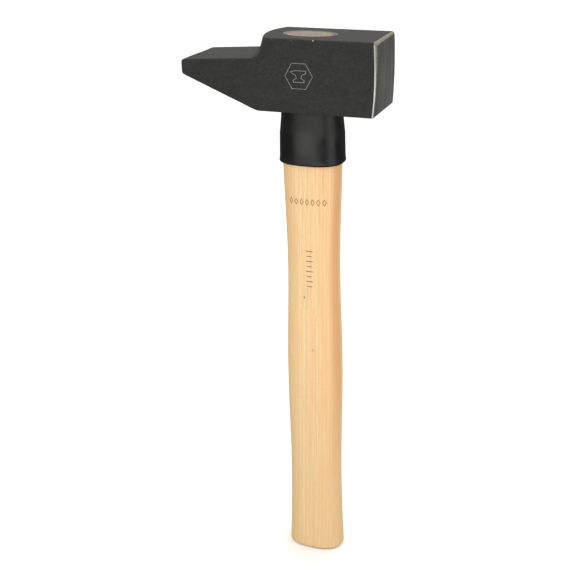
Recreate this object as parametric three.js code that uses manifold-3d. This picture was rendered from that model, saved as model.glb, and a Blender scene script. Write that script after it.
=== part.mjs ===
// Blacksmith's cross-peen hammer with a forged head of nearly square section and an oval handle.
// Millimetres. The origin is the centre of the handle's butt face. +Z runs up the handle to the
// head, +X points to the striking face, and the head's two cheeks face -Y and +Y.

import * as THREE from 'three';
import { mergeVertices } from 'three/addons/utils/BufferGeometryUtils.js';
import Module from 'manifold-3d';

const wasm = await Module();
wasm.setup();

// Driving dimensions.
const HEAD_HEIGHT = 42.4; // underside to top
const HEAD_WIDTH = 41; // cheek to cheek
const HEAD_BASE = 307.6; // height of the head's underside above the butt
const FACE_REACH = 45.4; // handle axis to the crown of the striking face
const PEEN_REACH = 75.1; // handle axis to the tip of the peen
const EYE_HALF_LENGTH = 14; // eye at its waist, along X
const EYE_HALF_WIDTH = 7.9; // eye at its waist, along Y
const EYE_X = -0.6; // the eye sits slightly behind the handle's axis
const RING_RADIUS = 6.5; // outside of the steel ring wedge at its top
const SLEEVE_LENGTH = 32.8; // protective sleeve below the head
const SLEEVE_WALL = 1.4; // at its upper end
const FIT_GAP = 0.3; // clearance between pieces that touch

const HEAD_TOP = HEAD_BASE + HEAD_HEIGHT;
const HALF_WIDTH = HEAD_WIDTH / 2;
const TENON_TOP = HEAD_TOP - 0.3; // the tenon and wedges are dressed just below the head's top
const OVAL_SIDES = 48;
const OVERSHOOT = 1; // how far a cutting solid runs past what it cuts

// ---------- solids ----------

// Turns a closed three.js geometry into a solid that can be joined and cut.
function toSolid(geometry) {
  const bare = geometry.clone();
  bare.deleteAttribute('normal');
  bare.deleteAttribute('uv');
  const merged = mergeVertices(bare);
  const corners = Array.from(merged.index.array);
  const kept = [];
  for (let i = 0; i < corners.length; i += 3) {
    const [a, b, c] = corners.slice(i, i + 3);
    if (a !== b && b !== c && c !== a) {
      kept.push(a, b, c);
    }
  }
  const vertProperties = new Float32Array(merged.attributes.position.array);
  const triVerts = new Uint32Array(kept);
  return new wasm.Manifold(new wasm.Mesh({ numProp: 3, vertProperties, triVerts }));
}

function toGeometry(solid) {
  const mesh = solid.getMesh();
  const geometry = new THREE.BufferGeometry();
  geometry.setAttribute('position', new THREE.BufferAttribute(mesh.vertProperties, 3));
  geometry.setIndex(new THREE.BufferAttribute(mesh.triVerts, 1));
  geometry.computeVertexNormals();
  return geometry;
}

function signedPower(value, power) {
  return Math.sign(value) * Math.abs(value) ** power;
}

// A closed solid through oval sections { x, z, halfLength, halfWidth, squareness }, listed
// upwards. Squareness 2 is an ellipse, and larger values have flatter sides. The solid starts as
// a lathe of unit radius with one level for each section.
function ovalSolid(sections) {
  const levels = sections.map((section, level) => new THREE.Vector2(1, level));
  const profile = [new THREE.Vector2(0, 0), ...levels, new THREE.Vector2(0, sections.length - 1)];
  const geometry = new THREE.LatheGeometry(profile, OVAL_SIDES);
  const position = geometry.attributes.position;
  for (let i = 0; i < position.count; i++) {
    const section = sections[Math.round(position.getY(i))];
    const power = 2 / section.squareness;
    const x = section.x + section.halfLength * signedPower(position.getX(i), power);
    const y = -section.halfWidth * signedPower(position.getZ(i), power);
    position.setXYZ(i, x, y, section.z);
  }
  return toSolid(geometry);
}

// The same sections, larger all round by a margin.
function widen(sections, margin) {
  return sections.map((section) => ({
    ...section,
    halfLength: section.halfLength + margin,
    halfWidth: section.halfWidth + margin,
  }));
}

// ---------- head ----------

// Side view of the head as x against height above its underside: the peen, the block up to the
// front of its rounded shoulder, and the crowned striking face between two ground bevels.
function headSideOutline() {
  const tipLow = 19.6;
  const tipHigh = 27.8;
  const tipRound = 2.2;
  const topSlope = 0.06;
  const undersideSlope = 0.41;
  const rootX = -PEEN_REACH + tipLow / undersideSlope;
  const rootRound = 2.8;
  const blockX = -18;
  const upperRim = FACE_REACH - 0.15;
  const lowerRim = FACE_REACH - 1.3;
  const upperBevel = { depth: 2.4, height: 1.4 };
  const lowerBevel = { depth: 0.5, height: 0.5 };
  const crownPull = 0.4;

  const outline = new THREE.Shape();
  outline.moveTo(-PEEN_REACH, tipLow + tipRound);
  outline.quadraticCurveTo(
    -PEEN_REACH, tipLow,
    -PEEN_REACH + tipRound, tipLow - undersideSlope * tipRound,
  );
  outline.lineTo(rootX - rootRound, undersideSlope * rootRound);
  outline.quadraticCurveTo(rootX, 0, rootX + rootRound, 0);
  outline.lineTo(lowerRim - lowerBevel.depth, 0);
  outline.lineTo(lowerRim, lowerBevel.height);
  outline.quadraticCurveTo(
    FACE_REACH + crownPull, HEAD_HEIGHT / 2,
    upperRim, HEAD_HEIGHT - upperBevel.height,
  );
  outline.lineTo(upperRim - upperBevel.depth, HEAD_HEIGHT);
  outline.lineTo(blockX, HEAD_HEIGHT);
  outline.lineTo(blockX, tipHigh + topSlope * (PEEN_REACH + blockX));
  outline.lineTo(-PEEN_REACH + tipRound, tipHigh + topSlope * tipRound);
  outline.quadraticCurveTo(-PEEN_REACH, tipHigh, -PEEN_REACH, tipHigh - tipRound);
  return outline;
}

// The outline carried across the head's width, with its long edges rounded over.
function headBody() {
  const edgeRound = 0.7;
  const geometry = new THREE.ExtrudeGeometry(headSideOutline(), {
    depth: HEAD_WIDTH - 2 * edgeRound,
    bevelThickness: edgeRound,
    bevelSize: edgeRound,
    bevelOffset: -edgeRound,
    bevelSegments: 3,
    curveSegments: 8,
  });
  geometry.rotateX(Math.PI / 2);
  geometry.translate(0, HALF_WIDTH - edgeRound, HEAD_BASE);
  return toSolid(geometry);
}

// The end of the block above the peen is a barrel about an upright axis. Its wall leans out as it
// goes down, and a wide fillet runs out onto the peen.
function headShoulder() {
  const barrelX = 7.2;
  const topRadius = 35.1;
  const topRound = 1.2;
  const leanPerMillimetre = 0.3;
  const filletTop = 36.4;
  const filletFoot = 29.4;
  const filletRadius = topRadius + leanPerMillimetre * (HEAD_HEIGHT - filletTop);
  const footRadius = 46.6;
  const filletPull = { radius: 39.1, height: 30 };
  const curvePoints = 6;
  const barrelSides = 96;
  const buried = 20;

  const profile = new THREE.Path();
  profile.moveTo(0, buried);
  profile.lineTo(footRadius, buried);
  profile.lineTo(footRadius, filletFoot);
  profile.quadraticCurveTo(filletPull.radius, filletPull.height, filletRadius, filletTop);
  profile.lineTo(topRadius + leanPerMillimetre * topRound, HEAD_HEIGHT - topRound);
  profile.quadraticCurveTo(topRadius, HEAD_HEIGHT, topRadius - topRound, HEAD_HEIGHT);
  profile.lineTo(0, HEAD_HEIGHT);

  const barrel = new THREE.LatheGeometry(profile.getPoints(curvePoints), barrelSides);
  barrel.rotateX(Math.PI / 2);
  barrel.translate(barrelX, 0, HEAD_BASE);

  const slabLength = footRadius;
  const slab = new THREE.BoxGeometry(slabLength, HEAD_WIDTH, HEAD_HEIGHT);
  slab.translate(barrelX - topRadius / 2 - slabLength / 2, 0, HEAD_BASE + HEAD_HEIGHT / 2);
  return toSolid(barrel).intersect(toSolid(slab));
}

// The eye narrows from both mouths to a waist, so that the spread handle can't pull out.
// Its upper mouth has a wide chamfer, which is widest along X.
const EYE_WAIST_LENGTH = 4;
const EYE_LOWER_FLARE = 0.8;
const EYE_UPPER_FLARE = 0.2;

function eyeSections() {
  const chamferDepth = 1.6;
  const mouthLength = EYE_UPPER_FLARE + 2.2;
  const mouthWidth = EYE_UPPER_FLARE + 1.35;
  const section = (height, lengthMargin, widthMargin = lengthMargin) => ({
    x: EYE_X,
    z: HEAD_BASE + height,
    halfLength: EYE_HALF_LENGTH + lengthMargin,
    halfWidth: EYE_HALF_WIDTH + widthMargin,
    squareness: 2,
  });
  return [
    section(-OVERSHOOT, EYE_LOWER_FLARE),
    section(0, EYE_LOWER_FLARE),
    section((HEAD_HEIGHT - EYE_WAIST_LENGTH) / 2, 0),
    section((HEAD_HEIGHT + EYE_WAIST_LENGTH) / 2, 0),
    section(HEAD_HEIGHT - chamferDepth, EYE_UPPER_FLARE),
    section(HEAD_HEIGHT, mouthLength, mouthWidth),
    section(HEAD_HEIGHT + OVERSHOOT, mouthLength + OVERSHOOT, mouthWidth + OVERSHOOT),
  ];
}

function makeHead() {
  return headBody().add(headShoulder()).subtract(ovalSolid(eyeSections()));
}

// ---------- handle ----------

// Half-length of the oval grip against height, from the flared butt over the palm swell and the
// waist to the neck under the head. Below the first station the butt is chamfered.
const GRIP_STATIONS = [
  [1.5, 18.4], [29, 17.45], [69, 16.95], [136, 17.8], [210, 16.35], [274, 17.9], [305, 17.6],
];
const GRIP_SQUARENESS = 2.5;
const BUTT_WIDTH_RATIO = 0.68;
const NECK_WIDTH_RATIO = 0.75;

function gripSection(z, halfLength) {
  const widthRatio = THREE.MathUtils.mapLinear(z, 0, HEAD_BASE, BUTT_WIDTH_RATIO, NECK_WIDTH_RATIO);
  const halfWidth = halfLength * widthRatio;
  return { x: 0, z, halfLength, halfWidth, squareness: GRIP_SQUARENESS };
}

function gripSections() {
  const stations = GRIP_STATIONS.map(([z, halfLength]) => new THREE.Vector2(z, halfLength));
  const steps = 36;
  const curve = new THREE.SplineCurve(stations);
  return curve.getPoints(steps).map((point) => gripSection(point.x, point.y));
}

// The part of the handle inside the eye, a close fit with its waist and both mouths.
function tenonSections() {
  const shoulderDrop = 0.5;
  const section = (z, margin) => ({
    x: EYE_X,
    z,
    halfLength: EYE_HALF_LENGTH + margin - FIT_GAP,
    halfWidth: EYE_HALF_WIDTH + margin - FIT_GAP,
    squareness: 2,
  });
  return [
    section(HEAD_BASE - shoulderDrop, EYE_LOWER_FLARE),
    section(HEAD_BASE + (HEAD_HEIGHT - EYE_WAIST_LENGTH) / 2, 0),
    section(HEAD_BASE + (HEAD_HEIGHT + EYE_WAIST_LENGTH) / 2, 0),
    section(TENON_TOP, EYE_UPPER_FLARE),
  ];
}

// A long wooden wedge, thin at its foot, driven along the eye from above.
function wedgeTaper(margin) {
  const halfTop = 2.3 + margin;
  const halfFoot = 0.7 + margin;
  const depth = 28;
  const length = 3 * EYE_HALF_LENGTH;
  const top = TENON_TOP + (margin > 0 ? OVERSHOOT : 0);
  const foot = TENON_TOP - depth - margin;
  const section = new THREE.Shape();
  section.moveTo(-halfFoot, foot);
  section.lineTo(halfFoot, foot);
  section.lineTo(halfTop, top);
  section.lineTo(-halfTop, top);
  const geometry = new THREE.ExtrudeGeometry(section, { depth: length, bevelEnabled: false });
  geometry.translate(0, 0, -length / 2);
  geometry.rotateX(Math.PI / 2);
  geometry.rotateZ(Math.PI / 2);
  return toSolid(geometry);
}

// A tapered steel ring with a sharp lower edge. A margin makes the groove that it sits in.
function ringTaper(margin) {
  const wall = 1.4;
  const height = 16;
  const footWall = 0.5;
  const taper = 0.5;
  const top = TENON_TOP + (margin > 0 ? OVERSHOOT : 0);
  const foot = TENON_TOP - height - margin;
  const profile = [
    new THREE.Vector2(RING_RADIUS - taper - footWall - margin, foot),
    new THREE.Vector2(RING_RADIUS - taper + margin, foot),
    new THREE.Vector2(RING_RADIUS + margin, top),
    new THREE.Vector2(RING_RADIUS - wall - margin, top),
    new THREE.Vector2(RING_RADIUS - taper - footWall - margin, foot),
  ];
  const geometry = new THREE.LatheGeometry(profile, OVAL_SIDES);
  geometry.rotateX(Math.PI / 2);
  geometry.translate(EYE_X, 0, 0);
  return toSolid(geometry);
}

function makeHandle() {
  const grip = gripSections();
  const buttChamfer = grip[0].z;
  const butt = widen([{ ...grip[0], z: 0 }], -buttChamfer);
  const blank = ovalSolid([...butt, ...grip, ...tenonSections()]);
  return blank.subtract(wedgeTaper(FIT_GAP)).subtract(ringTaper(FIT_GAP));
}

// The wedge is trimmed to the tenon's oval and cut by the ring's groove.
function makeWoodenWedge() {
  const trimmed = wedgeTaper(0).intersect(ovalSolid(tenonSections()));
  return trimmed.subtract(ringTaper(FIT_GAP));
}

// ---------- sleeve ----------

// A thin tube of the handle's own section, a little thicker at its lower end, where it has a
// flared lip. Its upper edge is rounded in towards the head.
function makeSleeve() {
  const top = HEAD_BASE - FIT_GAP;
  const rim = top - SLEEVE_LENGTH;
  const lowerWall = SLEEVE_WALL + 0.3;
  const lip = { height: 0.8, flare: 0.3, blend: 2.4 };
  const edge = { height: 11, inset: 0.8 };
  const neck = GRIP_STATIONS.length - 1;
  const low = gripSection(rim, GRIP_STATIONS[neck - 1][1] + FIT_GAP);
  const high = gripSection(top, GRIP_STATIONS[neck][1] + FIT_GAP);
  const bore = [{ ...low, z: rim - OVERSHOOT }, low, high, { ...high, z: top + OVERSHOOT }];
  const outside = (section, z, margin) => widen([{ ...section, z }], margin)[0];
  const shell = [
    outside(low, rim, lowerWall),
    outside(low, rim + lip.height, lowerWall + lip.flare),
    outside(low, rim + lip.blend, lowerWall),
    outside(high, top - edge.height, SLEEVE_WALL),
    outside(high, top, SLEEVE_WALL - edge.inset),
  ];
  return ovalSolid(shell).subtract(ovalSolid(bore));
}

// ---------- assembly ----------

function addPiece(group, name, solid, color, roughness, metalness) {
  const material = new THREE.MeshStandardMaterial({ color, roughness, metalness });
  const mesh = new THREE.Mesh(toGeometry(solid), material);
  mesh.name = name;
  group.add(mesh);
}

const hammer = new THREE.Group();
addPiece(hammer, 'head', makeHead(), 0x3b3c39, 0.6, 0.4);
addPiece(hammer, 'handle', makeHandle(), 0xe8c893, 0.55, 0);
addPiece(hammer, 'wooden_wedge', makeWoodenWedge(), 0xb08a6c, 0.7, 0);
addPiece(hammer, 'ring_wedge', ringTaper(0), 0x8a8c88, 0.4, 1);
addPiece(hammer, 'sleeve', makeSleeve(), 0x262624, 0.45, 0);

export default hammer;
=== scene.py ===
"""Looks of the blacksmith hammer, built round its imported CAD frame.

The frame has +Z up the handle, +X towards the striking face and its origin at the middle of the
butt face. Shapes are worked out in millimetres and scaled to metres when a mesh is made.
"""

import math

import bmesh
import bpy
from mathutils import Matrix, Vector, noise


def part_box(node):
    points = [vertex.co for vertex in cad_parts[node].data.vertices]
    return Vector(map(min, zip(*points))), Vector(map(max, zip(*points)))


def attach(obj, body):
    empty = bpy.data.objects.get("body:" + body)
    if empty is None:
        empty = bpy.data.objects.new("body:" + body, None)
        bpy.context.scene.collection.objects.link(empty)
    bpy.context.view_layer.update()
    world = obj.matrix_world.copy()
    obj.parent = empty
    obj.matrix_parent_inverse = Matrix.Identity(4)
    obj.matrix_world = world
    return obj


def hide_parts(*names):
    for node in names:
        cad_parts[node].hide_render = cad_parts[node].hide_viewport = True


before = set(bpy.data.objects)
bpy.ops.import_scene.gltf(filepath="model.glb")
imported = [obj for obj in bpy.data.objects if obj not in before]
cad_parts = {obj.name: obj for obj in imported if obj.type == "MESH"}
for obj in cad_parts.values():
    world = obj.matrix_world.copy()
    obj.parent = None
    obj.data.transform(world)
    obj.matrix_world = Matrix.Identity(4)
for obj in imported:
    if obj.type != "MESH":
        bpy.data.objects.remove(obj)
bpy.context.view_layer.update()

MM = 0.001
PER_MM = 1000.0


def box_mm(node):
    """Lowest and highest corner of a CAD node, in millimetres."""
    low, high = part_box(node)
    return low * PER_MM, high * PER_MM


HEAD_LOW, HEAD_HIGH = box_mm("head")
SLEEVE_LOW, SLEEVE_HIGH = box_mm("sleeve")
RING_LOW, RING_HIGH = box_mm("ring_wedge")
WEDGE_LOW, WEDGE_HIGH = box_mm("wooden_wedge")
TENON_TOP = box_mm("handle")[1].z

BASE = HEAD_LOW.z  # height of the head's underside
SIZE = HEAD_HIGH.z - HEAD_LOW.z  # the head's height
SKIN = 0.06  # the cheeks stay this far inside the frame, so that a mark can lie on them
HALF = HEAD_HIGH.y - SKIN


# ---------- small geometry helpers ----------


def lerp(a, b, t):
    return a + (b - a) * t


def smoothstep(low, high, value):
    t = min(max((value - low) / (high - low), 0.0), 1.0)
    return t * t * (3 - 2 * t)


def bezier(start, pull, end, t):
    """Point on a quadratic curve."""
    return tuple((1 - t) ** 2 * a + 2 * t * (1 - t) * b + t * t * c for a, b, c in zip(start, pull, end))


def soft_min(values, softness):
    """The least of the values, rounded over where two are nearly equal."""
    least = min(values)
    return least - softness * math.log(sum(math.exp((least - v) / softness) for v in values))


def run_steps(count):
    """Fractions from 0 to 1, even but for one narrow step at each end that keeps a flat face flat."""
    edge = 0.008
    inner = [lerp(edge, 1 - edge, i / (count - 2)) for i in range(count - 1)]
    return [0.0] + inner + [1.0]


def signed_power(value, power):
    return math.copysign(abs(value) ** power, value)


def spline(stations, steps):
    """Uniform Catmull-Rom curve through the stations, as the part file draws it."""
    last = len(stations) - 1
    points = []
    for step in range(steps + 1):
        place = last * step / steps
        i = min(int(place), last - 1)
        t = place - i
        p0, p1, p2, p3 = (stations[min(max(i + k, 0), last)] for k in (-1, 0, 1, 2))
        point = []
        for a, b, c, d in zip(p0, p1, p2, p3):
            v0, v1 = (c - a) / 2, (d - b) / 2
            cubic = (2 * b - 2 * c + v0 + v1) * t ** 3 + (-3 * b + 3 * c - 2 * v0 - v1) * t * t
            point.append(cubic + v0 * t + b)
        points.append(tuple(point))
    return points


def add_ring(bm, points):
    return [bm.verts.new(p) for p in points]


def bridge(bm, ring_a, ring_b, skip=()):
    """Quads between two rings of as many vertices, but for the edges named in skip."""
    count = len(ring_a)
    for i in range(count):
        if i not in skip:
            j = (i + 1) % count
            bm.faces.new((ring_a[i], ring_a[j], ring_b[j], ring_b[i]))


def as_object(name, bm, sharp_degrees=40.0):
    """Turns a bmesh in millimetres into a smooth-shaded object in metres, with its faces outwards."""
    bmesh.ops.remove_doubles(bm, verts=bm.verts, dist=1e-4)
    bmesh.ops.recalc_face_normals(bm, faces=bm.faces)
    bmesh.ops.scale(bm, verts=bm.verts, vec=(MM, MM, MM))
    mesh = bpy.data.meshes.new(name)
    bm.to_mesh(mesh)
    bm.free()
    mesh.polygons.foreach_set("use_smooth", [True] * len(mesh.polygons))
    mesh.set_sharp_from_angle(angle=math.radians(sharp_degrees))
    piece = bpy.data.objects.new(name, mesh)
    bpy.context.scene.collection.objects.link(piece)
    return piece


def carve(piece, cutter, operation="DIFFERENCE", keep_cutter=False):
    """Cuts a piece with another object and keeps the result as the piece's own mesh."""
    modifier = piece.modifiers.new("carve", "BOOLEAN")
    modifier.operation = operation
    modifier.solver = "EXACT"
    modifier.object = cutter
    evaluated = piece.evaluated_get(bpy.context.evaluated_depsgraph_get())
    mesh = bpy.data.meshes.new_from_object(evaluated)
    mesh.name = piece.data.name
    piece.modifiers.clear()
    piece.data = mesh
    mesh.set_sharp_from_angle(angle=math.radians(40.0))
    if not keep_cutter:
        bpy.data.objects.remove(cutter)
    return piece


def settle(piece, name_of_node, material):
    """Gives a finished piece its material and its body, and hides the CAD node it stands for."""
    piece.data.materials.clear()
    piece.data.materials.append(material)
    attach(piece, "root")
    if name_of_node:
        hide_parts(name_of_node)
    return piece


# ---------- node materials ----------


class Graph:
    """Builds a node tree from plain calls."""

    def __init__(self, tree):
        self.tree = tree

    def put(self, socket, value):
        """Links an output to a socket, or sets the socket's own value."""
        if isinstance(value, bpy.types.NodeSocket):
            self.tree.links.new(value, socket)
        else:
            socket.default_value = value

    def math(self, operation, a, b=0.0, clamp=False):
        node = self.tree.nodes.new("ShaderNodeMath")
        node.operation = operation
        node.use_clamp = clamp
        self.put(node.inputs[0], a)
        self.put(node.inputs[1], b)
        return node.outputs[0]

    def vector_math(self, operation, a, b):
        node = self.tree.nodes.new("ShaderNodeVectorMath")
        node.operation = operation
        self.put(node.inputs[0], a)
        self.put(node.inputs[1], b)
        return node.outputs["Value" if operation in ("DISTANCE", "DOT_PRODUCT") else "Vector"]

    def split(self, vector):
        node = self.tree.nodes.new("ShaderNodeSeparateXYZ")
        self.put(node.inputs[0], vector)
        return node.outputs

    def join(self, x, y, z):
        node = self.tree.nodes.new("ShaderNodeCombineXYZ")
        for socket, value in zip(node.inputs, (x, y, z)):
            self.put(socket, value)
        return node.outputs[0]

    def rise(self, value, low, high, to_low=0.0, to_high=1.0):
        """Smooth step of a value from one range to another."""
        node = self.tree.nodes.new("ShaderNodeMapRange")
        node.interpolation_type = "SMOOTHSTEP"
        self.put(node.inputs["Value"], value)
        limits = {"From Min": low, "From Max": high, "To Min": to_low, "To Max": to_high}
        for name, number in limits.items():
            self.put(node.inputs[name], number)
        return node.outputs["Result"]


class Nodes(Graph):
    """One material: a principled shader and the textures that feed it. Lengths are in millimetres."""

    def __init__(self, name):
        self.material = bpy.data.materials.new(name)
        self.material.use_nodes = True
        super().__init__(self.material.node_tree)
        self.tree.nodes.clear()
        output = self.tree.nodes.new("ShaderNodeOutputMaterial")
        self.shader = self.tree.nodes.new("ShaderNodeBsdfPrincipled")
        self.tree.links.new(self.shader.outputs["BSDF"], output.inputs["Surface"])
        coordinates = self.tree.nodes.new("ShaderNodeTexCoord")
        self.place = self.vector_math("MULTIPLY", coordinates.outputs["Object"], (PER_MM,) * 3)
        self.x, self.y, self.z = self.split(self.place)

    def set(self, **sockets):
        """Sets the shader's sockets, named with _ for a space."""
        for name, value in sockets.items():
            self.put(self.shader.inputs[name.replace("_", " ")], value)

    def attribute(self, name):
        node = self.tree.nodes.new("ShaderNodeAttribute")
        node.attribute_name = name
        return node.outputs["Fac"]

    def normal(self):
        return self.split(self.tree.nodes.new("ShaderNodeNewGeometry").outputs["Normal"])

    def noise(self, grain, detail=2.0, roughness=0.5, at=None):
        """Noise from 0 to 1. grain is the size of its blotches in mm, one number or x, y, z."""
        sizes = grain if isinstance(grain, tuple) else (grain,) * 3
        vector = self.vector_math("DIVIDE", at or self.place, sizes)
        node = self.tree.nodes.new("ShaderNodeTexNoise")
        self.put(node.inputs["Vector"], vector)
        node.inputs["Scale"].default_value = 1.0
        node.inputs["Detail"].default_value = detail
        node.inputs["Roughness"].default_value = roughness
        return node.outputs["Fac"]

    def mix(self, share, a, b):
        """Mixes two colours, given as sRGB bytes or as outputs."""
        node = self.tree.nodes.new("ShaderNodeMix")
        node.data_type = "RGBA"
        self.put(node.inputs["Factor"], share)
        self.put(node.inputs["A"], a if isinstance(a, bpy.types.NodeSocket) else srgb(*a))
        self.put(node.inputs["B"], b if isinstance(b, bpy.types.NodeSocket) else srgb(*b))
        return node.outputs["Result"]

    def blend(self, share, a, b):
        """Mixes two numbers."""
        node = self.tree.nodes.new("ShaderNodeMix")
        node.data_type = "FLOAT"
        self.put(node.inputs["Factor"], share)
        self.put(node.inputs["A"], a)
        self.put(node.inputs["B"], b)
        return node.outputs["Result"]

    def bump(self, height, depth_mm, strength=1.0):
        """Raises the surface by a height from 0 to 1, which stands for depth_mm."""
        node = self.tree.nodes.new("ShaderNodeBump")
        node.inputs["Strength"].default_value = strength
        node.inputs["Distance"].default_value = depth_mm * MM
        self.put(node.inputs["Height"], height)
        self.put(self.shader.inputs["Normal"], node.outputs["Normal"])


def srgb(red, green, blue):
    """Linear colour with alpha, from bytes as a picture shows them."""

    def linear(byte):
        value = byte / 255
        return value / 12.92 if value <= 0.04045 else ((value + 0.055) / 1.055) ** 2.4

    return (linear(red), linear(green), linear(blue), 1.0)


# ---------- camera, lights and floor ----------


CAMERA_PLACE = (0.21449, -0.59443, 0.45822)  # metres
CAMERA_AZIMUTH, CAMERA_ELEVATION, CAMERA_ROLL = 21.361, 22.931, -1.306  # degrees
CAMERA_LENS = 67.618  # millimetres


def make_camera():
    azimuth, elevation, roll = (math.radians(a) for a in (CAMERA_AZIMUTH, CAMERA_ELEVATION, CAMERA_ROLL))
    back = Vector((math.sin(azimuth) * math.cos(elevation), -math.cos(azimuth) * math.cos(elevation),
                   math.sin(elevation)))
    right = Vector((0, 0, 1)).cross(back).normalized()
    up = back.cross(right)
    rolled_right = right * math.cos(roll) + up * math.sin(roll)
    rolled_up = up * math.cos(roll) - right * math.sin(roll)
    data = bpy.data.cameras.new("camera")
    data.lens = CAMERA_LENS
    camera = bpy.data.objects.new("camera", data)
    camera.matrix_world = Matrix((rolled_right, rolled_up, back)).transposed().to_4x4()
    camera.matrix_world.translation = Vector(CAMERA_PLACE)
    bpy.context.scene.collection.objects.link(camera)
    bpy.context.scene.camera = camera


def add_softbox(name, place, aim, size, power):
    """A white rectangular light. Places and sizes are in metres, power in watts."""
    data = bpy.data.lights.new(name, "AREA")
    data.shape = "RECTANGLE"
    data.size, data.size_y = size
    data.energy = power
    light = bpy.data.objects.new(name, data)
    light.location = place
    light.rotation_euler = (Vector(aim) - Vector(place)).to_track_quat("-Z", "Y").to_euler()
    light.visible_camera = False
    bpy.context.scene.collection.objects.link(light)


def make_lights():
    middle = (0.0, 0.0, 0.2)
    add_softbox("top_softbox", (0.1, 0.3, 2.2), middle, (2.4, 2.4), 12.0)
    add_softbox("front_softbox", (0.28, -0.85, 0.5), middle, (0.35, 0.5), 2.2)
    add_softbox("right_softbox", (1.2, -0.05, 0.35), middle, (0.2, 0.7), 0.6)
    add_softbox("back_softbox", (0.0, 2.6, 1.6), (0.0, 1.9, 0.0), (3.0, 1.0), 6.5)
    make_world()
    bpy.context.scene.view_settings.view_transform = "Standard"


SKY_GLOW, OVERHEAD_GLOW = 0.75, 0.4  # brightness at the horizon, and what is added overhead
SURROUNDINGS = 0.1  # brightness below the horizon
PANELS = ((-12, 9, 2.9), (62, 6, 2.8))  # azimuth and half-width in degrees, and strength
PANEL_DIP = 0.92  # cosine of how far below the horizon the panels are centred


def make_world():
    """A pale studio above the horizon. Below it, where only reflections reach past the floor, are
    dim surroundings with two narrow upright panels, one in front and one at the right."""
    world = bpy.data.worlds.new("studio")
    world.use_nodes = True
    graph = Graph(world.node_tree)
    direction = graph.tree.nodes.new("ShaderNodeTexCoord").outputs["Generated"]
    _, _, height = graph.split(direction)
    horizon = graph.rise(height, -0.06, -0.01, 0.0, SKY_GLOW)
    sky = graph.math("ADD", horizon, graph.rise(height, 0.1, 0.9, 0.0, OVERHEAD_GLOW))
    below = graph.rise(height, -0.01, -0.06, 0.0, 1.0)
    low = SURROUNDINGS
    for azimuth, half_width, strength in PANELS:
        turn = math.radians(azimuth)
        toward = graph.vector_math("DOT_PRODUCT", direction, (math.sin(turn), -math.cos(turn), 0.0))
        outer, inner = (PANEL_DIP * math.cos(math.radians(half_width * share)) for share in (1.2, 0.5))
        low = graph.math("ADD", low, graph.rise(toward, outer, inner, 0.0, strength))
    background = graph.tree.nodes["Background"]
    background.inputs["Color"].default_value = (1.0, 1.0, 1.0, 1.0)
    graph.put(background.inputs["Strength"], graph.math("ADD", sky, graph.math("MULTIPLY", below, low)))
    bpy.context.scene.world = world


FLOOR_REACH = 60.0  # metres, far enough that the floor meets the sky at the horizon


def make_floor():
    bm = bmesh.new()
    bmesh.ops.create_grid(bm, x_segments=8, y_segments=8, size=FLOOR_REACH / MM)
    floor = as_object("floor", bm)
    nodes = Nodes("floor_paper")
    tone = nodes.noise(120.0, detail=3.0)
    nodes.set(Base_Color=nodes.mix(tone, (240, 240, 239), (244, 244, 243)), Roughness=0.9)
    nodes.set(Specular_IOR_Level=0.1)
    floor.data.materials.append(nodes.material)
    floor.visible_glossy = False


# ---------- head ----------

EDGE_ROUND = 1.5  # long edges of the top
LOW_EDGE_SHARE = 0.33  # the underside's long edges are sharper than the top's by this factor
TIP_ROUND = 2.0
TIP_LOW, TIP_HIGH = 19.6, 27.8  # the peen's tip above the head's underside
TOP_SLOPE, UNDERSIDE_SLOPE = 0.06, 0.41
ROOT_X = HEAD_LOW.x + TIP_LOW / UNDERSIDE_SLOPE
ROOT_ROUND = 2.6
BARREL_X, BARREL_Y, BARREL_RADIUS, BARREL_LEAN, BARREL_ROUND = 7.4, 1.2, 35.1, 0.3, 1.2
FILLET_TOP, FILLET_PULL, FILLET_FOOT = (36.84, 36.6), (39.1, 30.2), (46.6, 29.6)
BEVEL_X = 41.6  # the last plain section before the striking end
EYE_END_X = 21.0  # the flat top round the eye ends here

# The striking face was ground by hand: it is crowned, leans back at the bottom and is turned a
# little, so that its far side reaches less. Pairs are for the near and the far side.
FACE_CROWN = (HEAD_HIGH.x - 0.03, HEAD_HIGH.x - 0.75)
FACE_CURVE = (0.0018, 0.0012)
CROWN_HEIGHT = (31.0, 25.0)
CHEEK_EDGE_X, CHEEK_EDGE_HEIGHT = 44.2, 23.0
CHEEK_EDGE_BOW = (0.8, 1.25)  # how far it falls back at its upper and its lower end
TOP_BAND_X, TOP_BAND_SLOPE = 43.15, 1.65
LOW_BAND_X, LOW_BAND_SLOPE = 43.3, 1.2
FAR_CORNER_X, FAR_CORNER_SLOPE = 42.2, 0.8
FACE_EDGE_SOFTNESS = 0.12
CAP_INSETS = (0.0, 0.1, 0.25, 0.45, 0.65, 0.8, 0.95, 1.15, 1.5, 2.0, 2.6, 3.2)  # ground edge
CAP_LEAD = 0.06  # a narrow step of skin just before the ground edge

TIP_SKEW = 1.5  # how much shorter the peen's tip is at its far side
TIP_SKEW_RUN, TIP_SKEW_HALF_WIDTH = 14.0, 16.0
SKIN_RELIEF = 0.05  # half the depth of the forged skin's unevenness

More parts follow.
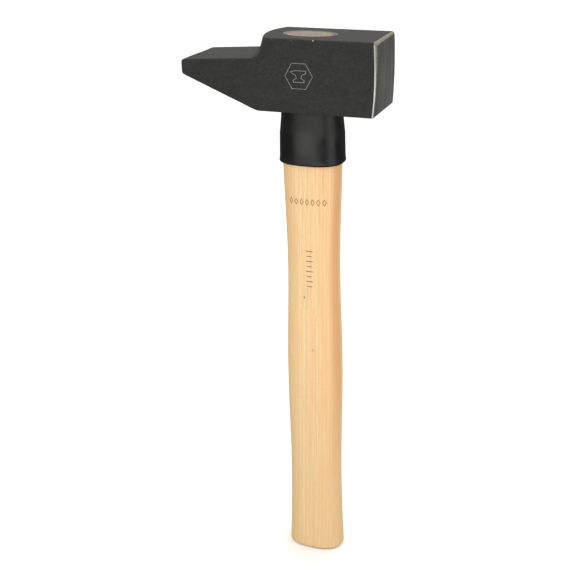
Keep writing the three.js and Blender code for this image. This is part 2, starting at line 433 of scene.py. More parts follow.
# The eye: its waist, how much larger its two mouths are along x and along y, and its levels above
# the head's underside from the top down, each with such a pair.
EYE_HALF_LENGTH, EYE_HALF_WIDTH = 14.0, 7.9
EYE_X = (RING_LOW.x + RING_HIGH.x) / 2
TOP_MOUTH, BOTTOM_MOUTH = (2.54, 1.68), (1.2, 1.2)
EYE_LEVELS = [(SIZE - 0.05, 2.38, 1.52), (SIZE - 0.2, 2.24, 1.4), (SIZE - 1.5, 0.38, 0.32),
              (SIZE - 1.8, 0.24, 0.24), (SIZE - 6, 0.2, 0.2), (SIZE / 2, 0.0, 0.0),
              (4.0, 0.5, 0.5), (0.6, 0.75, 0.75), (0.15, 0.95, 0.95)]

ACROSS, UPRIGHT, ARC = 30, 30, 5  # quads across the top, down a cheek and round an edge
ACROSS_STEPS, UPRIGHT_STEPS = run_steps(ACROSS), run_steps(UPRIGHT)
FAR_CHEEK = ACROSS + ARC  # where each stretch of a section starts in its ring
UNDERSIDE = FAR_CHEEK + UPRIGHT + ARC
NEAR_CHEEK = UNDERSIDE + ACROSS + ARC


def shoulder_profile():
    """Radius and height down the barrel-shaped end of the block: edge, leaning wall and fillet."""
    edge_low = (BARREL_RADIUS + BARREL_LEAN * BARREL_ROUND, SIZE - BARREL_ROUND)
    edge = [bezier((BARREL_RADIUS - BARREL_ROUND, SIZE), (BARREL_RADIUS, SIZE), edge_low, i / 6)
            for i in range(7)]
    wall = [(lerp(edge_low[0], FILLET_TOP[0], i / 4), lerp(edge_low[1], FILLET_TOP[1], i / 4))
            for i in range(1, 4)]
    fillet = [bezier(FILLET_TOP, FILLET_PULL, FILLET_FOOT, i / 14) for i in range(15)]
    return edge + wall + fillet


SHOULDER = shoulder_profile()


def shoulder_height(radius):
    if radius <= SHOULDER[0][0]:
        return SIZE
    for (r0, z0), (r1, z1) in zip(SHOULDER, SHOULDER[1:]):
        if radius <= r1:
            return lerp(z0, z1, (radius - r0) / (r1 - r0))
    return 0.0


def top_height(x, y):
    peen = TIP_HIGH + TOP_SLOPE * (x - HEAD_LOW.x)
    block = shoulder_height(math.hypot(BARREL_X - x, y - BARREL_Y)) if x < BARREL_X else SIZE
    return max(block, min(peen, SIZE))


def underside_height(x):
    if x >= ROOT_X + ROOT_ROUND:
        return 0.0
    if x <= ROOT_X - ROOT_ROUND:
        return UNDERSIDE_SLOPE * (ROOT_X - x)
    return UNDERSIDE_SLOPE * (ROOT_X + ROOT_ROUND - x) ** 2 / (4 * ROOT_ROUND)


def swept_x(x, y, sweep):
    """Where a section that crosses the near cheek at x lies at y, when it follows the barrel's arc."""
    if sweep <= 0:
        return x
    radius_squared = (BARREL_X - x) ** 2 + (HALF + BARREL_Y) ** 2
    arc_x = BARREL_X - math.sqrt(max(radius_squared - (y - BARREL_Y) ** 2, 0.0))
    return lerp(x, arc_x, sweep)


def head_section(x, sweep=0.0, inset=0.0, corner=EDGE_ROUND):
    """Points once round the head, from the near top edge over the top and the far cheek."""
    half = HALF - inset
    run = half - corner
    low_corner = corner * LOW_EDGE_SHARE
    low_run = half - low_corner
    low = underside_height(x) + inset
    high = top_height(swept_x(x, -run, sweep), -run) - inset
    far_x = swept_x(x, half, sweep)
    points = []
    for step in ACROSS_STEPS:
        y = lerp(-run, run, step)
        px = swept_x(x, y, sweep)
        points.append((px, y, top_height(px, y) - inset))
    turns = [math.pi / 2 * k / ARC for k in range(1, ARC)]
    for turn in turns:
        y = run + corner * math.sin(turn)
        points.append((swept_x(x, y, sweep), y, high - corner * (1 - math.cos(turn))))
    for step in UPRIGHT_STEPS:
        points.append((far_x, half, lerp(high - corner, low + low_corner, step)))
    for turn in turns:
        y = low_run + low_corner * math.cos(turn)
        points.append((far_x, y, low + low_corner * (1 - math.sin(turn))))
    for step in ACROSS_STEPS:
        points.append((lerp(far_x, x, step), lerp(low_run, -low_run, step), low))
    for turn in turns:
        y = -low_run - low_corner * math.sin(turn)
        points.append((x, y, low + low_corner * (1 - math.cos(turn))))
    for step in UPRIGHT_STEPS:
        points.append((x, -half, lerp(low + low_corner, high - corner, step)))
    for turn in turns:
        y = -run - corner * math.cos(turn)
        points.append((swept_x(x, y, sweep), y, high - corner * (1 - math.sin(turn))))
    return points


def striking_x(y, z):
    """Reach of the striking end over the head's section: crowned face, ground edges all round."""
    share = (y + HALF) / (2 * HALF)
    crown, curve, crown_height = (lerp(*pair, share) for pair in (FACE_CROWN, FACE_CURVE, CROWN_HEIGHT))
    face = crown - curve * (z - crown_height) ** 2
    bow = CHEEK_EDGE_BOW[0] if z > CHEEK_EDGE_HEIGHT else CHEEK_EDGE_BOW[1]
    cheek_edge = CHEEK_EDGE_X - bow * ((z - CHEEK_EDGE_HEIGHT) / (SIZE / 2)) ** 2
    cheek_chamfer = cheek_edge + (HALF - abs(y))
    top_chamfer = TOP_BAND_X + TOP_BAND_SLOPE * (SIZE - z)
    bottom_chamfer = LOW_BAND_X + LOW_BAND_SLOPE * z
    far_corner = FAR_CORNER_X + FAR_CORNER_SLOPE * ((HALF - y) + (SIZE - z))
    return soft_min((face, cheek_chamfer, top_chamfer, bottom_chamfer, far_corner), FACE_EDGE_SOFTNESS)


def fill_end(bm, ring, place):
    """Closes a ring whose corners have no radius with a grid. place gives x from y and z."""
    run_y = ring[ACROSS].co.y
    high, low = ring[0].co.z, ring[UNDERSIDE].co.z
    grid = []
    for i, across in enumerate(ACROSS_STEPS):
        column = []
        for j, down in enumerate(UPRIGHT_STEPS):
            if j == 0:
                vertex = ring[i]
            elif j == UPRIGHT:
                vertex = ring[UNDERSIDE + ACROSS - i]
            elif i == 0:
                vertex = ring[NEAR_CHEEK + UPRIGHT - j]
            elif i == ACROSS:
                vertex = ring[FAR_CHEEK + j]
            else:
                y, z = lerp(-run_y, run_y, across), lerp(high, low, down)
                vertex = bm.verts.new((place(y, z), y, z))
            column.append(vertex)
        grid.append(column)
    for left, right in zip(grid, grid[1:]):
        for j in range(UPRIGHT):
            bm.faces.new((left[j], left[j + 1], right[j + 1], right[j]))
    return [vertex for column in grid for vertex in column]


def hole_edge(rings, start, stop, run_start, reverse):
    """The border of the flat round the eye, on the top or the underside, as one ring."""
    order = range(ACROSS, -1, -1) if reverse else range(ACROSS + 1)
    across = [run_start + k for k in order]
    near = [rings[s][across[0]] for s in range(start, stop)]
    end = [rings[stop][k] for k in across[:-1]]
    far = [rings[s][across[-1]] for s in range(stop, start, -1)]
    front = [rings[start][k] for k in reversed(across[1:])]
    return near + end + far + front


def eye_rings(edge, mouth_z, mouth_margins, angles):
    """Points that lead from the border of the flat in to the eye's mouth."""
    count = 7
    for step in range(1, count + 1):
        t = 1 - (1 - step / count) ** 1.3
        points = []
        for vertex, angle in zip(edge, angles):
            x, y = eye_point(mouth_margins, angle)
            points.append((lerp(vertex.co.x, x, t), lerp(vertex.co.y, y, t), mouth_z))
        yield points


def eye_point(margins, angle):
    """Point of an oval larger than the eye's waist by a margin along x and one along y."""
    half_length, half_width = EYE_HALF_LENGTH + margins[0], EYE_HALF_WIDTH + margins[1]
    return EYE_X + half_length * math.cos(angle), half_width * math.sin(angle)


def cut_eye(bm, top_edge, bottom_edge, mouth_layer):
    """Joins the two flats through the eye: rounded mouths, a wide upper chamfer and a waist."""
    angles = [math.atan2(v.co.y / HALF, v.co.x / EYE_END_X) for v in bottom_edge]
    rings = [top_edge]
    rings += [add_ring(bm, points) for points in eye_rings(top_edge, SIZE, TOP_MOUTH, angles)]
    for z, *margins in EYE_LEVELS:
        ring = add_ring(bm, [(*eye_point(margins, angle), z) for angle in angles])
        for vertex in ring:
            vertex[mouth_layer] = 1.0
        rings.append(ring)
    from_bottom = list(eye_rings(bottom_edge, 0.0, BOTTOM_MOUTH, angles))
    rings += [add_ring(bm, points) for points in reversed(from_bottom)]
    for ring_a, ring_b in zip(rings, rings[1:]):
        bridge(bm, ring_a, ring_b)
    bridge(bm, rings[-1], bottom_edge)


def cheek_x(radius):
    """Where a circle about the barrel's axis meets the near cheek."""
    return BARREL_X - math.sqrt(radius ** 2 - (HALF + BARREL_Y) ** 2)


def head_stations():
    """Sections of the head from the peen's tip to the striking end, and which of them bound the eye."""
    stations = []
    for i in range(7):
        turn = math.pi / 2 * i / 6
        inset = TIP_ROUND * (1 - math.sin(turn))
        x = HEAD_LOW.x + 0.02 + TIP_ROUND * (1 - math.cos(turn))
        stations.append((x, 0.0, inset, EDGE_ROUND * (1 - inset / TIP_ROUND)))
    foot_x = cheek_x(FILLET_FOOT[0])
    peen_start = stations[-1][0]
    peen_count = 22
    for i in range(1, peen_count):
        x = lerp(peen_start, foot_x, i / peen_count)
        stations.append((x, smoothstep(foot_x - 24, foot_x, x), 0.0, EDGE_ROUND))
    for radius, _ in reversed(SHOULDER):
        stations.append((cheek_x(radius), 1.0, 0.0, EDGE_ROUND))
    eye_start = len(stations) - 1
    block_start = stations[-1][0]
    block_count = 28
    for i in range(1, block_count + 1):
        stations.append((lerp(block_start, EYE_END_X, i / block_count), 0.0, 0.0, EDGE_ROUND))
    eye_end = len(stations) - 1
    end_count = 14
    for i in range(1, end_count + 1):
        stations.append((lerp(EYE_END_X, BEVEL_X, i / end_count), 0.0, 0.0, EDGE_ROUND))
    return stations, eye_start, eye_end


def striking_rings():
    """Rings round the ground edge of the striking end, closing in to where the plain face starts."""
    for inset in CAP_INSETS:
        corner = EDGE_ROUND * (1 - inset / CAP_INSETS[-1])
        yield [(striking_x(y, z), y, z) for _, y, z in head_section(BEVEL_X, 0.0, inset, corner)]


def roughen(bm, kept):
    """Sinks the forged skin unevenly by up to a tenth of a millimetre, but for the kept vertices."""
    bmesh.ops.recalc_face_normals(bm, faces=bm.faces)
    for vertex in bm.verts:
        if vertex not in kept:
            wave = noise.noise(vertex.co / 13.0) + 0.5 * noise.noise(vertex.co / 5.0)
            vertex.co -= vertex.normal * SKIN_RELIEF * (1 + wave)


def skew_tip(bm):
    """The peen's tip was ground slightly out of square, so that its far side is shorter."""
    for vertex in bm.verts:
        fade = 1.0 - smoothstep(0.0, TIP_SKEW_RUN, vertex.co.x - HEAD_LOW.x)
        to_far_side = smoothstep(-TIP_SKEW_HALF_WIDTH, TIP_SKEW_HALF_WIDTH, vertex.co.y)
        vertex.co.x += TIP_SKEW * to_far_side * fade


def make_head(material):
    bm = bmesh.new()
    cap_layer = bm.verts.layers.float.new("cap")
    mouth_layer = bm.verts.layers.float.new("mouth")
    stations, eye_start, eye_end = head_stations()
    rings = [add_ring(bm, head_section(*station)) for station in stations]
    holes = set(range(ACROSS)) | set(range(UNDERSIDE, UNDERSIDE + ACROSS))
    for index, (ring_a, ring_b) in enumerate(zip(rings, rings[1:])):
        bridge(bm, ring_a, ring_b, skip=holes if eye_start <= index < eye_end else ())
    fill_end(bm, rings[0], lambda y, z: rings[0][0].co.x)

    top_edge = hole_edge(rings, eye_start, eye_end, 0, reverse=False)
    bottom_edge = hole_edge(rings, eye_start, eye_end, UNDERSIDE, reverse=True)
    cut_eye(bm, top_edge, bottom_edge, mouth_layer)

    cap = [add_ring(bm, points) for points in striking_rings()]
    before_cap = add_ring(bm, [(p.co.x - CAP_LEAD, p.co.y, p.co.z) for p in cap[0]])
    for ring_a, ring_b in zip([rings[-1], before_cap] + cap, [before_cap] + cap):
        bridge(bm, ring_a, ring_b)
    capped = set(fill_end(bm, cap[-1], striking_x)).union(*cap)
    for vertex in capped:
        vertex[cap_layer] = 1.0

    kept = capped | {v for v in bm.verts if v[mouth_layer] > 0} | set(before_cap)
    roughen(bm, kept)
    skew_tip(bm)
    bmesh.ops.translate(bm, verts=bm.verts, vec=(0, 0, BASE))
    return settle(as_object("forged_head", bm), "head", material)


# ---------- handle, wedges and sleeve ----------

# Height and half-length of the grip, from the butt's chamfer over the swell and waist to the neck.
GRIP_STATIONS = [(1.5, 18.4), (29, 17.45), (69, 16.95), (136, 17.8), (210, 16.35), (274, 17.9),
                 (305, 17.6)]
GRIP_SQUARENESS = 2.5
BUTT_WIDTH_RATIO, NECK_WIDTH_RATIO = 0.68, 0.75
TENON_GAP = 0.05
SLEEVE_GAP = 0.12
SLEEVE_LOW_WALL, SLEEVE_HIGH_WALL = 1.75, 1.5
WEDGE_HALF_FOOT = 0.7
RING_WALL, RING_FOOT_WALL, RING_TAPER, RING_WORN = 1.4, 0.5, 0.5, 0.18
CUTTER_OVERRUN = 1.0  # a cutter stands this far out of the tenon's top

# Rows of the sleeve's two ends: distance from the end, and how much the wall grows there.
SLEEVE_LIP = [(0.0, -0.7), (0.06, -0.35), (0.3, 0.02), (0.7, 0.22), (1.1, 0.25), (1.6, 0.14), (2.4, 0.02)]
SLEEVE_CROWN = [(13.0, 0.0), (10.0, -0.28), (6.5, -0.6), (3.0, -0.85), (1.0, -1.02), (0.25, -1.15),
                (0.0, -1.3)]


def grip_oval(z, half_length):
    """Section of the handle as height, half-length, half-width, squareness and middle x."""
    width_ratio = lerp(BUTT_WIDTH_RATIO, NECK_WIDTH_RATIO, z / BASE)
    return (z, half_length, half_length * width_ratio, GRIP_SQUARENESS, 0.0)


def grip_half_length(z):
    """Half-length of the grip at a height, read off its curve."""
    curve = spline(GRIP_STATIONS, 240)
    for (z0, a0), (z1, a1) in zip(curve, curve[1:]):
        if z <= z1:
            return lerp(a0, a1, (z - z0) / (z1 - z0))
    return curve[-1][1]


def oval_ring(oval, sides):
    z, half_length, half_width, squareness, middle_x = oval
    points = []
    for side in range(sides):
        angle = 2 * math.pi * side / sides
        x = half_length * signed_power(math.cos(angle), 2 / squareness)
        y = half_width * signed_power(math.sin(angle), 2 / squareness)
        points.append((middle_x + x, y, z))
    return points


def widened(oval, z, margin):
    """The same section at another height, larger all round by a margin."""
    _, half_length, half_width, squareness, middle_x = oval
    return (z, half_length + margin, half_width + margin, squareness, middle_x)


def oval_stack(name, ovals, sides=96, sharp_degrees=40.0):
    """A closed solid through oval sections, listed upwards."""
    bm = bmesh.new()
    rings = [add_ring(bm, oval_ring(oval, sides)) for oval in ovals]
    for ring_a, ring_b in zip(rings, rings[1:]):
        bridge(bm, ring_a, ring_b)
    bm.faces.new(rings[0])
    bm.faces.new(rings[-1])
    return as_object(name, bm, sharp_degrees)


def tenon_oval(z, margin):
    return (z, EYE_HALF_LENGTH + margin - TENON_GAP, EYE_HALF_WIDTH + margin - TENON_GAP, 2.0, EYE_X)


def tenon_ovals():
    """The tenon fills the eye: narrowest at the waist, spread above it and broken at its top edge."""
    levels = [(BASE + 0.2, 0.7), (BASE + SIZE / 2, 0.0), (TENON_TOP - 6, 0.2),
              (TENON_TOP - 0.35, 0.22), (TENON_TOP - 0.1, 0.12), (TENON_TOP, -0.05)]
    return [tenon_oval(z, margin) for z, margin in levels]


def butt_ovals():
    """The lower end of the handle, with its edge chamfered and sanded round."""
    start = GRIP_STATIONS[0][1]
    rows = []
    for z, inset in ((0.0, 1.9), (0.12, 1.45), (0.45, 0.95), (0.9, 0.45), (1.35, 0.12)):
        rows.append(widened(grip_oval(z, start), z, -inset))
    return rows


def wedge_block(name, margin):
    """The tapered strip that spreads the tenon, longer than the eye and not yet trimmed."""
    half_top, half_foot = WEDGE_HIGH.y + margin, WEDGE_HALF_FOOT + margin
    half_length = EYE_HALF_LENGTH + 4
    low, high = WEDGE_LOW.z - margin, TENON_TOP + (CUTTER_OVERRUN if margin > 0 else 0.0)
    bm = bmesh.new()
    ends = []
    for x in (-half_length, half_length):
        ends.append(add_ring(bm, [(x, -half_foot, low), (x, half_foot, low), (x, half_top, high),
                                  (x, -half_top, high)]))
    bridge(bm, *ends)
    bm.faces.new(ends[0])
    bm.faces.new(ends[1])
    return as_object(name, bm)


def ring_tube(name, margin):
    """The steel ring wedge, or with a margin the groove that it sits in."""
    low, high = RING_LOW.z - margin, RING_HIGH.z + (CUTTER_OVERRUN if margin > 0 else 0.0)
    outer = RING_HIGH.y
    inner = outer - RING_WALL
    profile = [(outer - RING_TAPER - RING_FOOT_WALL - margin, low), (outer - RING_TAPER + margin, low)]
    if margin > 0:
        profile += [(outer + margin, high), (inner - margin, high)]
    else:
        profile += [(outer, high - RING_WORN), (outer - RING_WORN, high)]
        profile += [(inner + RING_WORN, high), (inner, high - RING_WORN)]
    bm = bmesh.new()
    sides = 72
    turns = [2 * math.pi * side / sides for side in range(sides)]
    rings = []
    for radius, z in profile:
        points = [(EYE_X + radius * math.cos(turn), radius * math.sin(turn), z) for turn in turns]
        rings.append(add_ring(bm, points))
    for ring_a, ring_b in zip(rings, rings[1:] + rings[:1]):
        bridge(bm, ring_a, ring_b)
    return as_object(name, bm)


def make_handle(material):
    grip = [grip_oval(z, a) for z, a in spline(GRIP_STATIONS, 120)]
    handle = oval_stack("hickory_handle", butt_ovals() + grip + tenon_ovals(), sides=112)
    carve(handle, wedge_block("slot_cutter", TENON_GAP))
    carve(handle, ring_tube("groove_cutter", TENON_GAP))
    return settle(handle, "handle", material)


def make_wooden_wedge(material):
    wedge = wedge_block("beech_wedge", 0.0)
    carve(wedge, oval_stack("wedge_trimmer", [tenon_oval(BASE, 0.2)] + tenon_ovals()[1:]), "INTERSECT")
    carve(wedge, ring_tube("wedge_groove_cutter", TENON_GAP))
    return settle(wedge, "wooden_wedge", material)


def make_ring_wedge(material):
    return settle(ring_tube("steel_ring_wedge", 0.0), "ring_wedge", material)


def make_sleeve(material):
    """An oval tube round the handle's neck, tapering upwards from a flared and rounded lower lip."""
    rim, top = SLEEVE_LOW.z, SLEEVE_HIGH.z
    low = grip_oval(rim, grip_half_length(rim) + SLEEVE_GAP)
    high = grip_oval(top, GRIP_STATIONS[-1][1] + SLEEVE_GAP)
    shell = [widened(low, rim + rise, SLEEVE_LOW_WALL + margin) for rise, margin in SLEEVE_LIP]
    for i in range(1, 8):
        z = lerp(rim + SLEEVE_LIP[-1][0], top - SLEEVE_CROWN[0][0], i / 8)
        share = (z - rim) / (top - rim)
        between = [lerp(a, b, share) for a, b in zip(low, high)]
        shell.append(widened(between, z, lerp(SLEEVE_LOW_WALL, SLEEVE_HIGH_WALL, share)))
    shell += [widened(high, top - drop, SLEEVE_HIGH_WALL + margin) for drop, margin in SLEEVE_CROWN]
    bore = [high, widened(low, rim + 0.8, 0.0), widened(low, rim + 0.1, 0.25)]
    bm = bmesh.new()
    rings = [add_ring(bm, oval_ring(oval, 112)) for oval in shell + bore]
    for ring_a, ring_b in zip(rings, rings[1:] + rings[:1]):
        bridge(bm, ring_a, ring_b)
    return settle(as_object("rubber_sleeve", bm), "sleeve", material)


# ---------- marks on the cheek and the handle ----------

CHEEK_SUNK = 0.06  # the roughened skin lies about this far inside the cheek's plane
MARK_LIFT = 0.035  # how far a mark stands off the surface
MARK_SUNK = 0.15  # how far its underside lies below it


def stroke_ring(bm, outline, width, place):
    """A closed line of even width along an outline of u, v points, as a thin solid."""
    count = len(outline)
    sides = {(inner, lift): [] for inner in (0, 1) for lift in (0, 1)}
    for i, (u, v) in enumerate(outline):
        before, after = outline[i - 1], outline[(i + 1) % count]
        into = Vector((u - before[0], v - before[1])).normalized()
        out = Vector((after[0] - u, after[1] - v)).normalized()
        across = Vector((-(into.y + out.y), into.x + out.x)).normalized()
        reach = width / 2 / max(across.dot(Vector((-into.y, into.x))), 0.5)
        for inner, sign in ((0, -1), (1, 1)):
            pu, pv = u + across.x * reach * sign, v + across.y * reach * sign
            sides[inner, 0].append(bm.verts.new(place(pu, pv, -MARK_SUNK)))
            sides[inner, 1].append(bm.verts.new(place(pu, pv, MARK_LIFT)))
    loops = [sides[0, 0], sides[0, 1], sides[1, 1], sides[1, 0]]
    for ring_a, ring_b in zip(loops, loops[1:] + loops[:1]):
        bridge(bm, ring_a, ring_b)


def dash(bm, u, v, width, height, place):
    """A small filled bar that follows the surface, as a thin solid."""
    steps = 8
    along = [lerp(u - width / 2, u + width / 2, i / steps) for i in range(steps + 1)]
    outline = [(x, v - height / 2) for x in along] + [(x, v + height / 2) for x in reversed(along)]
    low = add_ring(bm, [place(x, y, -MARK_SUNK) for x, y in outline])
    high = add_ring(bm, [place(x, y, MARK_LIFT) for x, y in outline])
    bridge(bm, low, high)
    for ring in (low, high):
        for i in range(steps):
            bm.faces.new((ring[i], ring[i + 1], ring[-2 - i], ring[-1 - i]))


def on_near_cheek(u, v, lift):
    return (u, -(HALF - CHEEK_SUNK) - lift, BASE + v)


def on_near_grip(u, v, lift):
    """The handle's near side: u across, v the height."""
    z, half_length, half_width, squareness, _ = grip_oval(v, grip_half_length(v))
    share = min(abs(u) / half_length, 1.0)
    return (u, -(half_width + lift) * (1 - share ** squareness) ** (1 / squareness), z)


ANVIL = [(-5.0, 2.3), (-2.5, 3.1), (4.3, 3.1), (4.3, 1.7), (1.9, 0.6), (1.4, -1.2), (3.3, -2.3),
         (3.3, -3.5), (-3.3, -3.5), (-3.3, -2.3), (-1.4, -1.2), (-1.9, 0.6), (-3.2, 1.1)]


def make_cheek_mark(material):
    """A plain hexagon with a small anvil in it."""
    middle_u, middle_v, radius, line = -0.63, 21.7, 8.35, 0.34
    bm = bmesh.new()
    turns = [math.pi / 3 * k for k in range(6)]
    hexagon = [(middle_u + radius * math.cos(turn), middle_v + radius * math.sin(turn)) for turn in turns]
    stroke_ring(bm, hexagon, line, on_near_cheek)
    stroke_ring(bm, [(middle_u + u, middle_v + v) for u, v in ANVIL], line, on_near_cheek)
    return settle(as_object("cheek_mark", bm, 20.0), None, material)


def make_handle_marks(material):
    """Burnt marks: a row of lozenges under the sleeve and a column of bars below them."""
    bm = bmesh.new()
    row_v, first_u, pitch = 251.7, -10.0, 3.5
    half_width, half_height, line = 1.05, 1.9, 0.42
    for k in range(7):
        u = first_u + pitch * k
        lozenge = [(u - half_width, row_v), (u, row_v - half_height), (u + half_width, row_v),
                   (u, row_v + half_height)]
        stroke_ring(bm, lozenge, line, on_near_grip)
    column_u, first_v, step = 1.2, 219.9, -3.35
    long_bar, short_bar, bar_height = 4.4, 3.0, 0.6
    for k in range(8):
        width = long_bar if k % 2 == 0 else short_bar
        dash(bm, column_u, first_v + step * k, width, bar_height, on_near_grip)
    return settle(as_object("handle_marks", bm, 20.0), None, material)


# ---------- materials ----------


def forged_steel():
    """Dark lacquer over a forged skin, worn off round the striking face and the eye's mouth."""
    n = Nodes("forged_steel")
    height = n.math("SUBTRACT", n.z, BASE)
    from_cheek = n.math("SUBTRACT", HALF, n.math("ABSOLUTE", n.y))
    from_top = n.math("SUBTRACT", SIZE, height)
    on_cap = n.rise(n.attribute("cap"), 0.4, 0.6)
    in_mouth = n.rise(n.attribute("mouth"), 0.3, 0.6)

    grain = n.noise(0.5, detail=3.0, roughness=0.7)
    clumps = n.noise(1.5, detail=2.0, roughness=0.6)
    mottle = n.noise(8.0, detail=3.0)
    skin = n.mix(n.rise(grain, 0.3, 0.7), (36, 36, 34), (50, 50, 48))
    skin = n.mix(n.rise(clumps, 0.3, 0.75, 0.0, 0.45), skin, (58, 58, 56))
    skin = n.mix(n.rise(mottle, 0.35, 0.65, 0.0, 0.35), skin, (39, 39, 37))
    streaks = n.noise((3.5, 3.5, 36.0), detail=3.0)
    face = n.mix(n.rise(streaks, 0.25, 0.75), (76, 77, 72), (96, 97, 91))
    # Painted shade: the striking face is darkened towards the near cheek and towards the top.
    painted_face_shade = n.math("MAXIMUM", n.rise(n.y, -7.0, -19.0, 0.0, 0.7), n.rise(height, 14.0, 38.0, 0.0, 0.45))
    face = n.mix(painted_face_shade, face, (54, 56, 51))
    colour = n.mix(on_cap, skin, face)

    brushed = n.noise((0.15, 2.5, 0.35), detail=2.0)
    dull_steel = n.mix(n.rise(clumps, 0.3, 0.7), (102, 102, 91), (134, 134, 122))
    dull_steel = n.mix(n.math("MULTIPLY", in_mouth, 0.8), dull_steel, (124, 127, 126))
    bright_steel = n.mix(n.rise(brushed, 0.3, 0.7), (176, 177, 170), (214, 215, 209))

    ragged = n.math("MULTIPLY", n.math("SUBTRACT", n.noise(1.3, detail=3.0), 0.5), 0.5)
    side_width = n.rise(height, 0.0, SIZE, 1.3, 2.2)
    side_band = n.math("SUBTRACT", side_width, from_cheek)
    top_band = n.math("SUBTRACT", 1.5, from_top)
    low_band = n.math("SUBTRACT", 0.4, height)
    depth = n.math("MAXIMUM", n.math("MAXIMUM", side_band, top_band), low_band)
    worn = n.math("MULTIPLY", n.rise(n.math("ADD", depth, ragged), -0.3, 0.2), on_cap)
    shine = n.math("MULTIPLY", n.rise(n.math("ADD", from_cheek, ragged), 0.8, 0.45),
                   n.rise(from_top, 4.0, 32.0, 0.38, 1.0))
    shine = n.math("MULTIPLY", shine, on_cap)
    shine = n.math("MAXIMUM", shine, chip_mask(n))
    worn = n.math("MAXIMUM", worn, n.math("MAXIMUM", shine, in_mouth))
    colour = n.mix(shine, n.mix(worn, colour, dull_steel), bright_steel)

    n.set(Base_Color=colour)
    lacquer_gloss = n.blend(on_cap, n.rise(grain, 0.2, 0.8, 0.5, 0.62), 0.42)
    n.set(Roughness=n.blend(worn, lacquer_gloss, n.rise(brushed, 0.2, 0.8, 0.32, 0.48)))
    n.set(Metallic=n.math("ADD", n.math("MULTIPLY", worn, 0.45), n.math("MULTIPLY", shine, 0.45)))
    n.set(Specular_IOR_Level=0.09)
    relief = n.math("ADD", n.math("MULTIPLY", grain, 0.5), n.math("MULTIPLY", clumps, 0.5))
    n.bump(n.blend(worn, relief, brushed), 0.08, strength=0.6)
    return n.material


# Place along x, depth behind the near cheek, height above the head's underside, and size.
CHIPS = ((-4.9, 0.2, 41.5, 0.12), (8.15, 0.6, 41.98, 0.31), (-40.9, 0.2, 29.2, 0.12))


def chip_mask(n):
    """Small spots on the near edges where the lacquer has chipped off."""
    mask = 0.0
    for x, depth, height, size in CHIPS:
        spot = n.join(x, -(HALF - depth), BASE + height)
        reach = n.math("ADD", n.vector_math("DISTANCE", n.place, spot),
                       n.math("MULTIPLY", n.noise(0.5), 0.4))
        mask = n.math("MAXIMUM", mask, n.rise(reach, size + 0.3, size + 0.15))
    return mask


def heartwood_mask(n, drift):
    """A darker stripe of wood down the grip's side under the striking face, fading towards the butt."""
    y = n.math("ADD", n.y, n.math("MULTIPLY", n.math("SUBTRACT", drift, 0.5), 4.0))
    stripe = n.math("MULTIPLY", n.rise(y, -10.0, -6.5), n.rise(y, 1.5, -3.0))
    on_grip = n.math("MULTIPLY", n.rise(n.x, 9.0, 12.0, 0.0, 0.6), n.rise(n.z, 30.0, 150.0, 0.25, 1.0))
    return n.math("MULTIPLY", stripe, on_grip)


PIN_KNOTS = ((-2.5, 188.7, 0.25, 0.85), (2.9, 152.8, 0.4, 0.25))  # place along x, height, size and share


def pin_knot_mask(n):
    """Two pin knots on the near side of the grip: a small dark one and a fainter, wider one."""
    mask = 0.0
    for x, height, size, share in PIN_KNOTS:
        offset = n.vector_math("SUBTRACT", n.place, (x, -12.0, height))
        stretched = n.vector_math("MULTIPLY", offset, (1.0, 0.3, 0.45))
        reach = n.vector_math("DISTANCE", stretched, (0.0, 0.0, 0.0))
        mask = n.math("MAXIMUM", mask, n.rise(reach, 2.4 * size, size, 0.0, share))
    return mask


HEART_X, HEART_Y, HEART_LEAN = 58.0, 26.0, 0.02  # the tree's axis, and how it leans along the handle
RING_WIDTH = 2.3


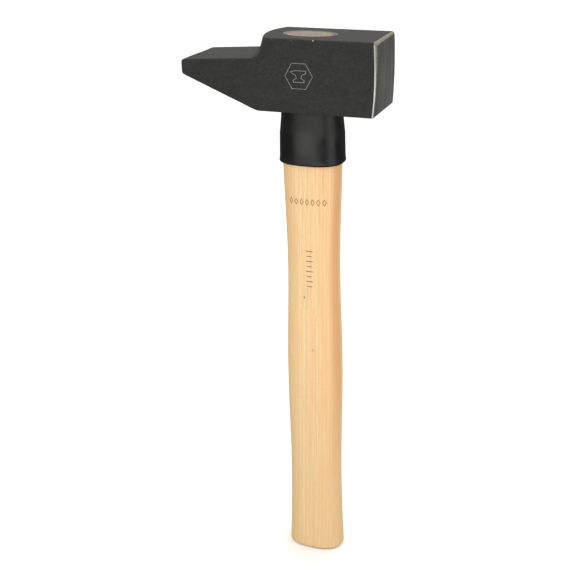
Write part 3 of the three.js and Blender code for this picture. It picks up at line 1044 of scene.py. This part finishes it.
def hickory():
    """Pale straight-grained wood, varnished. The rings lie round an axis beside the handle."""
    n = Nodes("hickory")
    drift = n.noise((16.0, 16.0, 170.0), detail=1.5, roughness=0.5)
    wander = n.math("MULTIPLY", n.math("SUBTRACT", drift, 0.5), 5.0)
    heart_x = n.math("ADD", HEART_X, n.math("MULTIPLY", n.z, HEART_LEAN))
    across = n.math("SUBTRACT", n.x, heart_x)
    along = n.math("SUBTRACT", n.y, HEART_Y)
    squares = n.math("ADD", n.math("MULTIPLY", across, across), n.math("MULTIPLY", along, along))
    radius = n.math("SQRT", squares)
    year = n.math("FRACT", n.math("DIVIDE", n.math("ADD", radius, wander), RING_WIDTH))
    late = n.math("MULTIPLY", n.rise(year, 0.25, 0.95), n.rise(year, 1.0, 0.965))

    fibre = n.noise((0.6, 0.6, 60.0), detail=3.0, roughness=0.6)
    fine = n.noise((0.25, 0.25, 14.0), detail=2.0)
    pores = n.noise((0.32, 0.32, 3.2), detail=1.0)
    bands = n.noise((3.5, 3.5, 220.0), detail=1.0)
    tone = n.noise((16.0, 16.0, 130.0), detail=1.0)

    colour = n.mix(n.rise(fibre, 0.25, 0.75), (219, 185, 134), (237, 208, 161))
    colour = n.mix(n.rise(bands, 0.4, 0.62, 0.0, 0.3), colour, (226, 183, 130))
    colour = n.mix(n.math("MULTIPLY", late, 0.34), colour, (210, 168, 115))
    colour = n.mix(n.rise(fine, 0.45, 0.8, 0.0, 0.2), colour, (212, 168, 116))
    colour = n.mix(n.rise(tone, 0.5, 0.72, 0.0, 0.35), colour, (228, 181, 130))
    colour = n.mix(n.rise(tone, 0.46, 0.3, 0.0, 0.3), colour, (224, 194, 142))
    colour = n.mix(n.rise(pores, 0.64, 0.74, 0.0, 0.3), colour, (166, 120, 72))
    streak = n.noise((1.6, 1.6, 60.0), detail=2.0)
    colour = n.mix(n.rise(streak, 0.63, 0.72, 0.0, 0.3), colour, (184, 134, 82))
    side = n.math("ADD", n.x, n.math("MULTIPLY", n.math("SUBTRACT", drift, 0.5), 7.0))
    redder = n.math("MULTIPLY", n.rise(side, 5.5, 7.5, 0.0, 0.4), n.rise(n.z, 30.0, 150.0, 0.4, 1.0))
    colour = n.mix(redder, colour, (228, 176, 124))
    # Painted shade: the grip is darkened towards its left side.
    colour = n.mix(n.rise(side, -6.0, -13.0, 0.0, 0.5), colour, (210, 174, 120))
    colour = n.mix(heartwood_mask(n, drift), colour, (198, 142, 88))
    colour = n.mix(pin_knot_mask(n), colour, (120, 76, 40))
    # The grip is darker towards the butt.
    darker_toward_butt = n.rise(n.z, 190.0, 20.0, 0.0, 0.32)
    colour = n.mix(darker_toward_butt, colour, (198, 170, 122))
    end_grain = n.rise(n.math("ABSOLUTE", n.normal()[2]), 0.75, 0.95)
    end_fleck = n.noise((0.7, 0.5, 2.0), detail=3.0)
    end_colour = n.mix(n.rise(end_fleck, 0.35, 0.65), (104, 92, 74), (132, 123, 106))
    colour = n.mix(n.math("MULTIPLY", end_grain, 0.9), colour, end_colour)
    n.set(Base_Color=colour)
    n.set(Roughness=n.rise(fine, 0.2, 0.8, 0.42, 0.56))
    n.set(Specular_IOR_Level=0.3)
    relief = n.math("SUBTRACT", n.math("MULTIPLY", fibre, 0.5), n.rise(pores, 0.62, 0.75, 0.0, 0.5))
    n.bump(relief, 0.06, strength=0.5)
    return n.material


def beech():
    """Pinkish brown wood with small flecks, cut across the grain."""
    n = Nodes("beech")
    flecks = n.noise((0.9, 0.25, 4.0), detail=3.0)
    tone = n.noise((5.0, 1.5, 5.0), detail=2.0)
    colour = n.mix(n.rise(flecks, 0.3, 0.7), (114, 94, 79), (144, 124, 108))
    colour = n.mix(n.rise(tone, 0.4, 0.7, 0.0, 0.5), colour, (142, 112, 96))
    n.set(Base_Color=colour, Roughness=0.62)
    n.bump(flecks, 0.05, strength=0.5)
    return n.material


def ring_steel():
    n = Nodes("ring_steel")
    scratches = n.noise((0.3, 0.3, 3.0), detail=3.0)
    n.set(Base_Color=n.mix(scratches, (92, 93, 90), (132, 133, 129)), Metallic=0.6)
    n.set(Roughness=n.rise(scratches, 0.2, 0.8, 0.35, 0.5))
    n.bump(scratches, 0.03, strength=0.5)
    return n.material


def sleeve_rubber():
    """Black moulded rubber with a faint pebble, a dusty bloom and a painted highlight: a lighter patch on
    the near side.
    """
    n = Nodes("sleeve_rubber")
    pebble = n.noise(0.35, detail=2.0, roughness=0.6)
    bloom = n.noise((6.0, 6.0, 9.0), detail=3.0)
    colour = n.mix(n.rise(bloom, 0.35, 0.7), (12, 12, 11), (18, 18, 17))
    colour = n.mix(n.rise(pebble, 0.4, 0.8, 0.0, 0.3), colour, (26, 26, 24))
    # Painted highlight: a lighter oval patch on the sleeve's near side.
    offset = n.vector_math("SUBTRACT", n.place, (0.0, -14.0, 288.0))
    stretched = n.vector_math("MULTIPLY", offset, (1.0, 1.0, 0.6))
    painted_highlight_patch = n.rise(n.vector_math("DISTANCE", stretched, (0.0, 0.0, 0.0)), 8.5, 1.0)
    colour = n.mix(painted_highlight_patch, colour, (38, 38, 34))
    n.set(Base_Color=colour)
    n.set(Roughness=n.rise(bloom, 0.3, 0.7, 0.32, 0.4))
    n.set(Specular_IOR_Level=0.3)
    n.bump(pebble, 0.03, strength=0.35)
    return n.material


def etched_line():
    n = Nodes("etched_line")
    wear = n.noise(0.8, detail=3.0)
    n.set(Base_Color=n.mix(n.rise(wear, 0.3, 0.75), (104, 105, 101), (142, 143, 139)))
    n.set(Roughness=n.rise(wear, 0.2, 0.8, 0.45, 0.6), Metallic=0.3)
    n.bump(wear, 0.02, strength=0.4)
    return n.material


def burnt_line():
    n = Nodes("burnt_line")
    char = n.noise((0.7, 0.7, 1.4), detail=3.0)
    n.set(Base_Color=n.mix(n.rise(char, 0.3, 0.72), (118, 76, 40), (172, 124, 76)))
    n.set(Roughness=n.rise(char, 0.2, 0.8, 0.5, 0.65))
    n.bump(char, 0.03, strength=0.4)
    return n.material


# ---------- scene ----------

make_camera()
make_lights()
make_floor()
make_head(forged_steel())
make_handle(hickory())
make_wooden_wedge(beech())
make_ring_wedge(ring_steel())
make_sleeve(sleeve_rubber())
make_cheek_mark(etched_line())
make_handle_marks(burnt_line())
